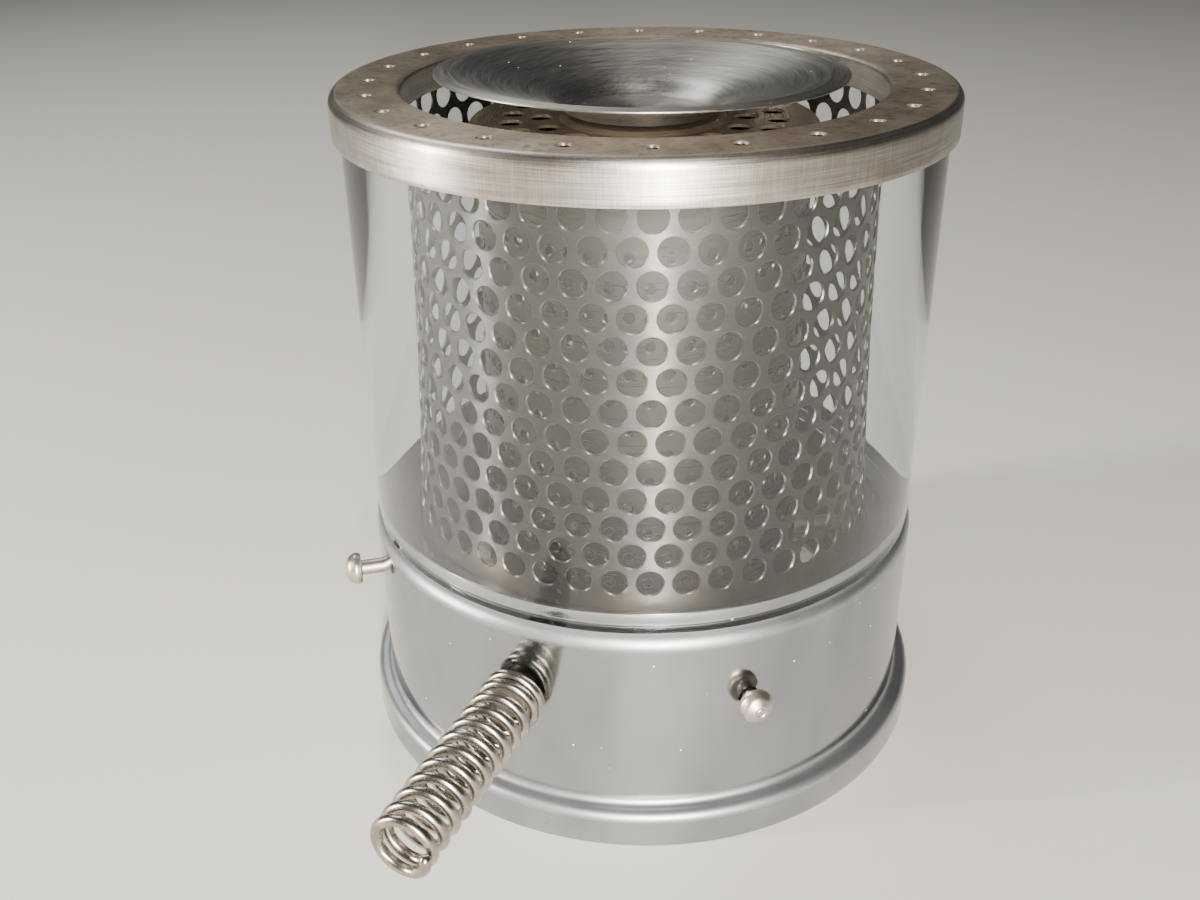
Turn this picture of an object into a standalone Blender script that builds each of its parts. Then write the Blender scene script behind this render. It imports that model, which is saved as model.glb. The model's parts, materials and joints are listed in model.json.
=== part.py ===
"""Glass-chimney spirit stove as separate pieces: metres, +Z up, the stove's axis on Z, standing on z = 0."""
import math

import bmesh
import bpy
from mathutils import Matrix, Vector

MM = 0.001
ROUND = 36  # steps around the large turned pieces
SMALL = 16  # steps around pins, studs and nuts
GAP = 0.3  # space left between pieces that touch in the real stove, mm

# Driving dimensions, mm. A height is measured from the table, an azimuth from the front (-Y) towards +X.
SHEET = 0.8
DECK_Z = 68.7
DRUM_R = 84.2
SHOULDER_R = 4.0
CREASE_R = 2.0  # where the wall meets the skirt
BEAD_R = 2.5  # round the skirt's upper edge
SKIRT_R = 88.9
SKIRT_Z = 11.4
COLLAR_UP = 5.3  # the locating ring above the deck
COLLAR_FOOT = 6.5
COLLAR_BEND = 1.2
SLEEVE_R = 67.8
SLEEVE_SHEET = 0.6
SLEEVE_BOTTOM = 42.0
TUBE_R = 47.8
TUBE_SHEET = 0.7
GLASS_R = 83.1
GLASS_WALL = 3.0
RING_R = 85.3
RING_HOLE_R = 66.1
RING_Z = 195.5
RING_SKIRT_Z = 184.2
RING_SHEET = 0.7
RING_COLLAR = 8.0  # the short collar inside the sleeve's mouth
RING_BEND_IN = 1.5
RING_BEND_OUT = 2.6
CAP_Z = 184.8
CAP_FLANGE = 8.0
CAP_STEP = 0.8  # the raised middle
CAP_BORE_R = 2.5
DISH_R = 56.6
DISH_Z = 197.6
DISH_SHEET = 0.6
DISH_RIM = 4.8  # the flat rim's width
DISH_STUD_R = 1.9
DISH_STUD_DOWN = 7.0  # below the cap's face
PIN_R = 2.3
PIN_HEAD_R = 5.0
PIN_HEAD = 4.8
PIN_HOLD = 175.3  # from the back of a cross pin's head to its far washer
PIN_GROOVE_R = 1.6
PIN_GROOVE = 1.4
PIN_TAIL = 2.0  # past the groove
CLIP_IN_R = 1.9
CLIP_OUT_R = 5.2
CLIP_LEG = 4.2
CLIP_SHEET = 0.8
WASHER_R = 5.4
CUP_R = 66.0
CUP_RIM_Z = 34.0
CUP_CORNER_R = 2.3
WICK_IN_R = 51.0
WICK_OUT_R = 62.6
WICK_Z = 38.0
CHANNEL_Z = 28.0
CHANNEL_SHEET = 0.6

# The perforation is coarser here than on the real sheets: fewer and larger holes over the same height.
SLEEVE_HOLES = {"columns": 18, "rows": 6, "first_z": 83.0, "pitch_z": 18.4, "hole_r": 7.8, "sides": 6}
TUBE_HOLES = {"columns": 10, "rows": 4, "first_z": 76.0, "pitch_z": 30.0, "hole_r": 2.6, "sides": 4}
CAP_HOLES = {"count": 14, "circle_r": 35.5, "hole_r": 3.2, "phase": 0.0, "sides": 6}
RING_HOLES = {"count": 24, "circle_r": 0.5 * (RING_HOLE_R + RING_R), "hole_r": 2.0, "phase": 1.5, "sides": 4}
DRILL_LENGTH = 8.0

# stand_off is from the drum wall to the back of the head
CROSS_PINS = [
    {"name": "right", "azimuth": 20.5, "height": 46.3, "stand_off": 3.2},
    {"name": "left", "azimuth": -74.5, "height": 50.9, "stand_off": 6.6},
]

HANDLE_AZIMUTH = -23.5
HANDLE_Z = 46.0
HANDLE_DROOP = 4.0
HANDLE_START = 0.6  # from the drum wall to the first turn
HANDLE_LENGTH = 62.0
COIL_R = 7.45  # to the middle of the wire
WIRE_R = 1.55
COIL_TURNS = 12.0
CLOSED_TURNS = 1.0  # at each end
STUD_R = 2.5
STUD_HEAD_R = 5.3
STUD_HEAD = 6.0
STUD_IN = 9.0  # inside the drum's wall
NUT = 3.4


def clear_scene():
    for old in list(bpy.data.objects):
        bpy.data.objects.remove(old, do_unlink=True)


def collection(name):
    made = bpy.data.collections.new(name)
    bpy.context.scene.collection.children.link(made)
    return made


def material(name, colour, roughness, metallic, transmission=0.0):
    made = bpy.data.materials.new(name)
    made.use_nodes = True
    shader = made.node_tree.nodes["Principled BSDF"]
    shader.inputs["Base Color"].default_value = (*colour, 1.0)
    shader.inputs["Roughness"].default_value = roughness
    shader.inputs["Metallic"].default_value = metallic
    shader.inputs["Transmission Weight"].default_value = transmission
    return made


def drum_steel():
    return material("drum_steel", (0.62, 0.63, 0.64), 0.18, 1.0)


def brushed_steel():
    return material("brushed_steel", (0.58, 0.57, 0.55), 0.32, 1.0)


def tube_steel():
    return material("tube_steel", (0.42, 0.40, 0.37), 0.45, 1.0)


def ring_steel():
    return material("ring_steel", (0.34, 0.29, 0.24), 0.42, 1.0)


def nickel():
    return material("nickel", (0.66, 0.61, 0.54), 0.28, 1.0)


def chimney_glass():
    return material("chimney_glass", (0.95, 0.97, 0.97), 0.02, 0.0, 1.0)


def cup_steel():
    return material("cup_steel", (0.55, 0.55, 0.54), 0.35, 1.0)


def wick_fibre():
    return material("wick_fibre", (0.74, 0.71, 0.63), 0.95, 0.0)


def arc(centre_r, centre_z, radius, start, end, steps):
    """Points of a profile's round stretch, from one angle to another in degrees."""
    points = []
    for i in range(steps + 1):
        angle = math.radians(start + (end - start) * i / steps)
        points.append((centre_r + radius * math.cos(angle), centre_z + radius * math.sin(angle)))
    return points


def around(radius, azimuth, height):
    """A place on a circle around the stove's axis, in metres."""
    angle = math.radians(azimuth)
    return Vector((radius * math.sin(angle), -radius * math.cos(angle), height)) * MM


def outward(azimuth, droop=0.0):
    """The direction away from the axis, tipped down by the droop."""
    turn, tip = math.radians(azimuth), math.radians(droop)
    return Vector((math.sin(turn) * math.cos(tip), -math.cos(turn) * math.cos(tip), -math.sin(tip)))


def add_object(name, mesh, look, home):
    made = bpy.data.objects.new(name, mesh)
    home.objects.link(made)
    if look is not None:
        mesh.materials.append(look)
    return made


def screw(piece, steps):
    turn = piece.modifiers.new("turn", "SCREW")
    turn.angle = math.tau
    turn.axis = "Z"
    turn.steps = steps
    turn.render_steps = steps
    turn.use_merge_vertices = True
    turn.merge_threshold = 0.00001
    turn.use_smooth_shade = True
    return turn


def turned(name, outline, look, home, steps=ROUND, closed=False):
    """A solid of revolution; an outline that starts and ends on the axis needs no closing edge."""
    mesh = bpy.data.meshes.new(name)
    points = [(radius * MM, 0.0, height * MM) for radius, height in outline]
    edges = [(i, i + 1) for i in range(len(points) - 1)]
    if closed:
        edges.append((len(points) - 1, 0))
    mesh.from_pydata(points, edges, [])
    piece = add_object(name, mesh, look, home)
    screw(piece, steps)
    return piece


def sheet(name, outline, look, home, thickness=SHEET, steps=ROUND):
    """A turned sheet: the outline is its outer face and the thickness goes inwards."""
    piece = turned(name, outline, look, home, steps)
    shell = piece.modifiers.new("sheet", "SOLIDIFY")
    shell.thickness = thickness * MM
    shell.offset = -1.0
    shell.use_even_offset = True
    return piece


def cut(piece, cutter):
    tool = piece.modifiers.new(cutter.name, "BOOLEAN")
    tool.operation = "DIFFERENCE"
    tool.solver = "EXACT"
    tool.object = cutter


def drills(name, places, home, sides):
    """One cutter made of straight drills: each has a centre, a direction, a radius and a length."""
    mesh = bpy.data.meshes.new(name)
    shape = bmesh.new()
    for centre, direction, radius, length in places:
        aim = direction.to_track_quat("Z", "Y").to_matrix().to_4x4()
        bmesh.ops.create_cone(shape, cap_ends=True, segments=sides, radius1=radius * MM, radius2=radius * MM,
                              depth=length * MM, matrix=Matrix.Translation(centre) @ aim)
    shape.to_mesh(mesh)
    shape.free()
    cutter = add_object(name, mesh, None, home)
    cutter.hide_render = True
    cutter.display_type = "WIRE"
    return cutter


def wall_drills(name, wall_r, pattern, stagger, home):
    """Drills for rows of radial holes; every second row is turned by half a column when staggered."""
    places = []
    for row in range(pattern["rows"]):
        offset = 0.5 * (row % 2) if stagger else 0.0
        height = pattern["first_z"] + pattern["pitch_z"] * row
        for column in range(pattern["columns"]):
            azimuth = 360.0 * (column + offset) / pattern["columns"]
            centre = around(wall_r, azimuth, height)
            places.append((centre, outward(azimuth), pattern["hole_r"], DRILL_LENGTH))
    return drills(name, places, home, pattern["sides"])


def circle_drills(name, pattern, height, home):
    """Vertical drills on one circle."""
    places = []
    for i in range(pattern["count"]):
        azimuth = pattern["phase"] + 360.0 * i / pattern["count"]
        centre = around(pattern["circle_r"], azimuth, height)
        places.append((centre, Vector((0, 0, 1)), pattern["hole_r"], DRILL_LENGTH))
    return drills(name, places, home, pattern["sides"])


def pin_drills(home):
    """Clearance holes for both cross pins, right through the drum, the sleeve and the tube."""
    places = []
    for pin in CROSS_PINS:
        centre = Vector((0, 0, pin["height"] * MM))
        places.append((centre, outward(pin["azimuth"]), PIN_R + 0.5, 2.0 * DRUM_R + 20.0))
    return drills("pin_holes", places, home, 12)


def handle_drill(home):
    centre = around(DRUM_R, HANDLE_AZIMUTH, HANDLE_Z)
    direction = outward(HANDLE_AZIMUTH, HANDLE_DROOP)
    return drills("handle_hole", [(centre, direction, STUD_R + 0.5, DRILL_LENGTH + 4.0)], home, 16)


def make_drum(parts, cutters, pin_holes):
    """Deck, rounded shoulder, wall and a wider skirt that stands on the table, all one pressing."""
    outline = [(SLEEVE_R + 0.6, DECK_Z)]
    outline += arc(DRUM_R - SHOULDER_R, DECK_Z - SHOULDER_R, SHOULDER_R, 90, 0, 4)
    outline += arc(DRUM_R + CREASE_R, SKIRT_Z + CREASE_R, CREASE_R, 180, 270, 2)
    outline += arc(SKIRT_R - BEAD_R, SKIRT_Z - BEAD_R, BEAD_R, 90, 0, 2)
    outline += [(SKIRT_R, 0.0)]
    drum = sheet("drum", outline, drum_steel(), parts)
    cut(drum, pin_holes)
    cut(drum, handle_drill(cutters))


def make_locating_ring(parts):
    """The upstanding collar that the glass fits around, with a foot spot-welded to the deck."""
    outer = GLASS_R - GLASS_WALL - 0.5
    foot_z = DECK_Z + GAP
    outline = [(outer, DECK_Z + COLLAR_UP)]
    outline += arc(outer - COLLAR_BEND, foot_z + COLLAR_BEND, COLLAR_BEND, 0, -90, 3)
    outline += [(outer - COLLAR_FOOT, foot_z)]
    sheet("glass_locating_ring", outline, drum_steel(), parts)


def make_glass(parts):
    low, high = DECK_Z + GAP, RING_Z - SHEET - GAP
    inner = GLASS_R - GLASS_WALL
    outline = [(inner, high), (GLASS_R, high), (GLASS_R, low), (inner, low)]
    turned("glass_chimney", outline, chimney_glass(), parts, closed=True)


def make_sleeve(parts, cutters, pin_holes):
    """The outer flame sleeve, perforated above the deck."""
    outline = [(SLEEVE_R, RING_Z - SHEET - GAP), (SLEEVE_R, SLEEVE_BOTTOM)]
    sleeve = sheet("outer_flame_sleeve", outline, brushed_steel(), parts, SLEEVE_SHEET)
    cut(sleeve, wall_drills("sleeve_holes", SLEEVE_R, SLEEVE_HOLES, True, cutters))
    cut(sleeve, pin_holes)


def make_tube(parts, cutters, pin_holes):
    """The inner flame tube, with small air holes in straight columns."""
    outline = [(TUBE_R, CAP_Z - SHEET - 1.0), (TUBE_R, SLEEVE_BOTTOM)]
    tube = sheet("inner_flame_tube", outline, tube_steel(), parts, TUBE_SHEET)
    cut(tube, wall_drills("tube_holes", TUBE_R, TUBE_HOLES, False, cutters))
    cut(tube, pin_holes)


def make_tube_cap(parts, cutters):
    """The perforated lid of the inner tube, with a flange over the tube's top and a raised middle."""
    flange = TUBE_R + GAP + SHEET
    outline = [(CAP_BORE_R, CAP_Z + CAP_STEP), (21.0, CAP_Z + CAP_STEP), (23.0, CAP_Z)]
    outline += arc(flange - 2.0, CAP_Z - 2.0, 2.0, 90, 0, 2) + [(flange, CAP_Z - CAP_FLANGE)]
    cap = sheet("tube_cap", outline, tube_steel(), parts)
    cut(cap, circle_drills("cap_holes", CAP_HOLES, CAP_Z, cutters))


def make_dish(parts):
    """The flame spreader: a shallow dish with a flat rim and a deeper well that rests on the cap."""
    low, rim = CAP_Z + CAP_STEP + GAP, DISH_Z - DISH_SHEET
    outline = [(DISH_R, rim), (DISH_R - DISH_RIM, rim), (DISH_R - DISH_RIM - 1.0, rim - 0.6)]
    outline += [(38.0, DISH_Z - 4.9), (26.0, DISH_Z - 7.6)]
    outline += [(22.6, DISH_Z - 9.4), (21.2, low + 0.7), (20.0, low), (0, low)]
    sheet("spreader_dish", outline, brushed_steel(), parts, DISH_SHEET)


def make_dish_fixing(parts):
    """The plain stud welded under the dish, which turns in the cap's bore, with its washer and nut below."""
    top = CAP_Z + CAP_STEP
    low = CAP_Z - DISH_STUD_DOWN
    turned("dish_stud", [(0, top), (DISH_STUD_R, top), (DISH_STUD_R, low), (0, low)], nickel(), parts, SMALL)
    under = top - SHEET - GAP
    inner = DISH_STUD_R + GAP + 0.1
    washer = [(inner, under), (WASHER_R, under), (WASHER_R, under - SHEET), (inner, under - SHEET)]
    turned("dish_washer", washer, nickel(), parts, SMALL, closed=True)
    high = under - SHEET - GAP
    bore = (DISH_STUD_R + GAP) / math.cos(math.pi / 6)
    nut = [(bore, high), (4.4, high), (4.4, high - 3.0), (bore, high - 3.0)]
    turned("dish_nut", nut, nickel(), parts, 6, closed=True)


def make_top_ring(parts, cutters):
    """The flat ring over the glass, with a deep outer flange and a short collar inside the sleeve."""
    inner, outer = RING_HOLE_R + RING_BEND_IN, RING_R - RING_BEND_OUT
    outline = [(RING_HOLE_R, RING_Z - RING_COLLAR)]
    outline += arc(inner, RING_Z - RING_BEND_IN, RING_BEND_IN, 180, 90, 2)
    outline += arc(outer, RING_Z - RING_BEND_OUT, RING_BEND_OUT, 90, 0, 3) + [(RING_R, RING_SKIRT_Z)]
    ring = sheet("top_ring", outline, ring_steel(), parts, RING_SHEET)
    cut(ring, circle_drills("ring_holes", RING_HOLES, RING_Z, cutters))


def aim(piece, place, direction):
    """Stand a turned piece on its place with its own Z along the direction."""
    piece.location = place
    piece.rotation_mode = "QUATERNION"
    piece.rotation_quaternion = direction.to_track_quat("Z", "Y")


def make_cross_pin(parts, pin):
    """A pin right through the stove: domed head, grooved far end. Its origin is under the head."""
    groove = -PIN_HOLD - SHEET - GAP
    tail = groove - PIN_GROOVE - PIN_TAIL
    outline = [(0, PIN_HEAD), (1.9, PIN_HEAD), (3.6, 3.9), (4.7, 2.2), (PIN_HEAD_R, 0.8)]
    outline += [(PIN_HEAD_R - 0.4, 0), (PIN_R, 0)]
    outline += [(PIN_R, groove), (PIN_GROOVE_R, groove), (PIN_GROOVE_R, groove - PIN_GROOVE)]
    outline += [(PIN_R, groove - PIN_GROOVE), (PIN_R, tail), (0, tail)]
    piece = turned("cross_pin_" + pin["name"], outline, nickel(), parts, SMALL)
    aim(piece, around(DRUM_R + pin["stand_off"], pin["azimuth"], pin["height"]), outward(pin["azimuth"]))


def make_pin_washer(parts, pin):
    outline = [(PIN_R + GAP, SHEET), (WASHER_R, SHEET), (WASHER_R, 0), (PIN_R + GAP, 0)]
    washer = turned("pin_washer_" + pin["name"], outline, nickel(), parts, SMALL, closed=True)
    place = around(DRUM_R + pin["stand_off"] - PIN_HOLD, pin["azimuth"], pin["height"])
    aim(washer, place, -outward(pin["azimuth"]))


def make_pin_clip(parts, pin):
    """A flat horseshoe clip that drops over the groove and pulls straight up off the pin."""
    flat = bpy.data.curves.new("pin_clip_" + pin["name"], "CURVE")
    flat.dimensions = "2D"
    flat.fill_mode = "BOTH"
    flat.extrude = 0.5 * CLIP_SHEET * MM
    points = arc(0, 0, CLIP_IN_R, 180, 0, 8) + [(CLIP_IN_R, -CLIP_LEG), (CLIP_IN_R + 1.6, -CLIP_LEG - 0.4)]
    points += arc(0, 0, CLIP_OUT_R, -20, 200, 14)
    points += [(-CLIP_IN_R - 1.6, -CLIP_LEG - 0.4), (-CLIP_IN_R, -CLIP_LEG)]
    line = flat.splines.new("POLY")
    line.points.add(len(points) - 1)
    for point, (x, y) in zip(line.points, points):
        point.co = (x * MM, y * MM, 0, 1)
    line.use_cyclic_u = True
    clip = bpy.data.objects.new("pin_clip_" + pin["name"], flat)
    parts.objects.link(clip)
    flat.materials.append(nickel())
    middle = DRUM_R + pin["stand_off"] - PIN_HOLD - SHEET - GAP - 0.5 * PIN_GROOVE
    place = around(middle, pin["azimuth"], pin["height"])
    clip.matrix_world = standing_frame(place, outward(pin["azimuth"]))


def standing_frame(place, normal):
    """A frame whose Z is the normal and whose Y is straight up."""
    side = Vector((0, 0, 1)).cross(normal).normalized()
    turn = Matrix((side, Vector((0, 0, 1)), normal)).transposed()
    return Matrix.Translation(place) @ turn.to_4x4()


def coil_points():
    """The spring's centre line: closed turns at both ends and open turns between, along its own Z."""
    start, end = HANDLE_START + WIRE_R, HANDLE_LENGTH - WIRE_R
    closed, tight = CLOSED_TURNS, 2.0 * WIRE_R + 0.2
    open_pitch = (end - start - 2.0 * closed * tight) / (COIL_TURNS - 2.0 * closed)
    points = []
    per_turn = 10
    for i in range(int(COIL_TURNS * per_turn) + 1):
        turn = i / per_turn
        height = start + tight * min(turn, closed)
        height += open_pitch * min(max(turn - closed, 0.0), COIL_TURNS - 2.0 * closed)
        height += tight * max(turn - COIL_TURNS + closed, 0.0)
        angle = math.tau * turn
        points.append((COIL_R * math.cos(angle), COIL_R * math.sin(angle), height))
    return points


def make_handle_spring(parts):
    """The stay-cool handle: an open coil of round wire, with its origin where it leaves the drum."""
    wire = bpy.data.curves.new("handle_spring", "CURVE")
    wire.dimensions = "3D"
    wire.bevel_depth = WIRE_R * MM
    wire.bevel_resolution = 2
    wire.use_fill_caps = True
    points = coil_points()
    line = wire.splines.new("POLY")
    line.points.add(len(points) - 1)
    for point, (x, y, z) in zip(line.points, points):
        point.co = (x * MM, y * MM, z * MM, 1)
    spring = bpy.data.objects.new("handle_spring", wire)
    parts.objects.link(spring)
    wire.materials.append(nickel())
    aim(spring, around(DRUM_R, HANDLE_AZIMUTH, HANDLE_Z), outward(HANDLE_AZIMUTH, HANDLE_DROOP))


def make_handle_fixing(parts):
    """The stud that carries the spring, with a washer and a nut inside the drum."""
    place = around(DRUM_R, HANDLE_AZIMUTH, HANDLE_Z)
    direction = outward(HANDLE_AZIMUTH, HANDLE_DROOP)
    outline = [(0, STUD_HEAD), (STUD_HEAD_R - 0.8, STUD_HEAD), (STUD_HEAD_R, STUD_HEAD - 0.8)]
    outline += [(STUD_HEAD_R, 0.8), (STUD_R, 0.8), (STUD_R, -STUD_IN), (0, -STUD_IN)]
    stud = turned("handle_stud", outline, nickel(), parts, SMALL)
    face = -SHEET - 0.9  # clear of the curved wall behind the washer's edge
    washer = [(STUD_R + GAP, face), (6.0, face), (6.0, face - SHEET), (STUD_R + GAP, face - SHEET)]
    plate = turned("handle_washer", washer, nickel(), parts, SMALL, closed=True)
    top = face - SHEET - GAP
    bore = (STUD_R + GAP) / math.cos(math.pi / 6)
    nut = [(bore, top), (5.2, top), (5.2, top - NUT), (bore, top - NUT)]
    hexagon = turned("handle_nut", nut, nickel(), parts, 6, closed=True)
    for piece in (stud, plate, hexagon):
        aim(piece, place, direction)


def make_fuel_cup(parts):
    """The open spirit cup that stands on the table inside the drum."""
    wall, floor = CUP_R - SHEET, SHEET
    bend = CUP_CORNER_R - SHEET
    outline = [(0, floor)] + arc(wall - bend, floor + bend, bend, -90, 0, 2)
    outline += [(wall, CUP_RIM_Z), (CUP_R, CUP_RIM_Z)]
    outline += arc(CUP_R - CUP_CORNER_R, CUP_CORNER_R, CUP_CORNER_R, 0, -90, 2) + [(0, 0)]
    turned("fuel_cup", outline, cup_steel(), parts)


def make_wick(parts):
    """A fibre ring under the space between tube and sleeve, held in a sheet channel in the cup."""
    low, side = SHEET + GAP, CHANNEL_SHEET + GAP
    channel = [(WICK_OUT_R, CHANNEL_Z), (WICK_OUT_R, low), (WICK_IN_R, low), (WICK_IN_R, CHANNEL_Z)]
    sheet("wick_channel", channel, cup_steel(), parts, CHANNEL_SHEET)
    inner, outer = WICK_IN_R + side, WICK_OUT_R - side
    wick = [(inner, WICK_Z), (outer, WICK_Z), (outer, low + side), (inner, low + side)]
    turned("wick_ring", wick, wick_fibre(), parts, closed=True)


def smooth_shade(home):
    for piece in home.objects:
        if piece.type == "MESH":
            piece.data.shade_smooth()


def build():
    clear_scene()
    parts = collection("spirit_stove")
    cutters = collection("cutters")
    pin_holes = pin_drills(cutters)
    make_drum(parts, cutters, pin_holes)
    make_locating_ring(parts)
    make_glass(parts)
    make_sleeve(parts, cutters, pin_holes)
    make_tube(parts, cutters, pin_holes)
    make_tube_cap(parts, cutters)
    make_dish(parts)
    make_dish_fixing(parts)
    make_top_ring(parts, cutters)
    for pin in CROSS_PINS:
        make_cross_pin(parts, pin)
        make_pin_washer(parts, pin)
        make_pin_clip(parts, pin)
    make_handle_spring(parts)
    make_handle_fixing(parts)
    make_fuel_cup(parts)
    make_wick(parts)
    smooth_shade(parts)


build()
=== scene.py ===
# A spirit stove with a glass chimney: bright pressed steel, a perforated flame sleeve and a coiled handle.
import json
import math

import bpy
import numpy as np
from mathutils import Matrix, Vector


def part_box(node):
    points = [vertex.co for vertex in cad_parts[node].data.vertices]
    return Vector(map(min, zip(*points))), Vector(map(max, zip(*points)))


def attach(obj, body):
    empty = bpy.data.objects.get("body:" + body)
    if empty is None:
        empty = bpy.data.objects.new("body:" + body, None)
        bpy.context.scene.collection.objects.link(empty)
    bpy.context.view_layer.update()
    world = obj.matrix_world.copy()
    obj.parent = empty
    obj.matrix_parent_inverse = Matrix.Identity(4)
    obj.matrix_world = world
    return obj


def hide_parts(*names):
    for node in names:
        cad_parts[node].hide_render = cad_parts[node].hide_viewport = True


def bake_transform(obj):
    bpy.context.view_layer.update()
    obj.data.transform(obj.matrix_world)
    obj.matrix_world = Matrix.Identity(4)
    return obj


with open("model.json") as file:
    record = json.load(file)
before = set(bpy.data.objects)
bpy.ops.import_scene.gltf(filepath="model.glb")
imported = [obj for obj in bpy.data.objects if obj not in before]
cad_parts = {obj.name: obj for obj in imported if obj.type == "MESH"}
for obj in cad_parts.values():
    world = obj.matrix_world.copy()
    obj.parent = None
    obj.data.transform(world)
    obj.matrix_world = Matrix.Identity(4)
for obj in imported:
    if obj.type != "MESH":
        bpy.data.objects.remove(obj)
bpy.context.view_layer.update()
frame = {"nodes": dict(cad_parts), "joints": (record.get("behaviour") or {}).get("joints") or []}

mm = 0.001  # profiles below are in millimetres, meshes in metres


view = {
    "back": 348.4,  # from the stove's axis, mm
    "height": 264.3,
    "yaw": 2.18,  # degrees
    "pitch": 27.85,
    "roll": -0.749,
    "lens": 37.29,  # mm on a 36 mm wide sensor
}
room = {
    "floorHalf": 4.0,  # metres
    "floorColour": "C2C0BC",
    "sky": "D9DCE0",
    "skyStrength": 0.08,
    # name: azimuth and elevation in degrees, distance, width and height in metres, watts, colour
    "lights": {
        "frontStrip": (7, 13, 1.2, 0.07, 0.50, 62, "FFF6EA"),
        "leftStrip": (-76, 13, 1.2, 0.10, 0.60, 30, "FFF8EE"),
        "backPanel": (-146, 47, 1.8, 1.0, 0.6, 11, "FFFFFF"),
        "highLight": (2, 37, 1.6, 0.40, 0.20, 12, "FFFFFF"),
    },
}


def toLinear(hexColour):
    # sRGB hex to linear light: the lower part is a straight line, the rest a power of 2.4
    parts = np.array([int(hexColour[i:i + 2], 16) / 255 for i in (0, 2, 4)])
    linear = np.where(parts <= 0.04045, parts / 12.92, ((parts + 0.055) / 1.055) ** 2.4)
    return (*map(float, linear), 1.0)


def aroundAxis(azimuth, elevation=0.0):
    # a unit vector: azimuth 0 is the front (-Y) and turns towards +X
    turn, lift = math.radians(azimuth), math.radians(elevation)
    return Vector((math.sin(turn) * math.cos(lift), -math.cos(turn) * math.cos(lift), math.sin(lift)))


def fill(tree, node, values):
    # each value goes into its input; a node feeds it from the output in use, (node, name) from the named one
    for name, value in values.items():
        if isinstance(value, bpy.types.Node):
            value = (value, [output.enabled for output in value.outputs].index(True))
        if isinstance(value, tuple) and isinstance(value[0], bpy.types.Node):
            tree.links.new(value[0].outputs[value[1]], node.inputs[name])
        else:
            node.inputs[name].default_value = value
    return node


def addNode(tree, kind, values=None, **settings):
    node = tree.nodes.new(kind)
    for name, value in settings.items():
        setattr(node, name, value)
    return fill(tree, node, values or {})


def newMaterial(name):
    made = bpy.data.materials.new(name)
    made.use_nodes = True
    return made, made.node_tree, made.node_tree.nodes["Principled BSDF"]


def makeCamera():
    data = bpy.data.cameras.new("camera")
    data.lens = view["lens"]
    data.sensor_width = 36.0
    data.clip_start = 0.01
    camera = bpy.data.objects.new("camera", data)
    bpy.context.scene.collection.objects.link(camera)
    camera.location = (0, -view["back"] * mm, view["height"] * mm)
    facing = Matrix.Identity(3)
    for axis, angle in (("Z", view["yaw"]), ("X", 90 - view["pitch"]), ("Z", view["roll"])):
        facing = facing @ Matrix.Rotation(math.radians(angle), 3, axis)
    camera.rotation_euler = facing.to_euler()
    bpy.context.scene.camera = camera


def makeFloor():
    half = room["floorHalf"]
    mesh = bpy.data.meshes.new("floor")
    corners = [(-half, -half, 0), (half, -half, 0), (half, half, 0), (-half, half, 0)]
    mesh.from_pydata(corners, [], [(0, 1, 2, 3)])
    paint, tree, shader = newMaterial("palePaint")
    fill(tree, shader, {"Base Color": toLinear(room["floorColour"]), "Roughness": 0.7})
    mesh.materials.append(paint)
    floor = bpy.data.objects.new("floor", mesh)
    bpy.context.scene.collection.objects.link(floor)


def makeLights():
    for name, (azimuth, elevation, distance, width, height, power, colour) in room["lights"].items():
        data = bpy.data.lights.new(name, "AREA")
        data.shape = "RECTANGLE"
        data.size, data.size_y = width, height
        data.energy = power
        data.color = toLinear(colour)[:3]
        light = bpy.data.objects.new(name, data)
        bpy.context.scene.collection.objects.link(light)
        towards = aroundAxis(azimuth, elevation)
        light.location = Vector((0, 0, 0.1)) + towards * distance
        light.rotation_euler = towards.to_track_quat("Z", "Y").to_euler()
    world = bpy.data.worlds.new("studio")
    bpy.context.scene.world = world
    world.use_nodes = True
    background = world.node_tree.nodes["Background"]
    fill(world.node_tree, background, {"Color": toLinear(room["sky"]), "Strength": room["skyStrength"]})


makeCamera()
makeFloor()
makeLights()
print("camera, floor and lights are in place")


def nodePoints(node):
    # a CAD node's vertices, mm
    mesh = frame["nodes"][node].data
    flat = np.empty(len(mesh.vertices) * 3)
    mesh.vertices.foreach_get("co", flat)
    return flat.reshape(-1, 3) / mm


def reach(node):
    # outer radius, lowest and highest point of a node that is round about the stove's axis, mm
    low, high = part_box(node)
    return high.x / mm, low.z / mm, high.z / mm


def innerRadius(node):
    points = nodePoints(node)
    return float(np.hypot(points[:, 0], points[:, 1]).min())


def jointNamed(name):
    return next(joint for joint in frame["joints"] if joint["name"] == name)


def filletPath(corners, steps=5):
    # a line through the corners (r, z, fillet); an arc of that radius replaces each corner that has one
    path = []
    for i, (r, z, fillet) in enumerate(corners):
        corner = np.array([r, z], float)
        if fillet == 0:
            path.append(corner)
            continue
        before = np.array(corners[i - 1][:2]) - corner
        after = np.array(corners[(i + 1) % len(corners)][:2]) - corner
        before, after = before / np.linalg.norm(before), after / np.linalg.norm(after)
        turn = math.pi - math.acos(np.clip(before @ after, -1, 1))
        start, end = (corner + side * fillet * math.tan(turn / 2) for side in (before, after))
        middle = (before + after) / np.linalg.norm(before + after) * fillet / math.cos(turn / 2) + corner
        share = np.linspace(0, 1, steps + 1)[:, None]
        arc = np.sin((1 - share) * turn) * (start - middle) + np.sin(share * turn) * (end - middle)
        path.extend(middle + arc / math.sin(turn))
    return np.array(path)


def arcLengths(path):
    return np.concatenate([[0.0], np.cumsum(np.linalg.norm(np.diff(path, axis=0), axis=1))])


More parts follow.
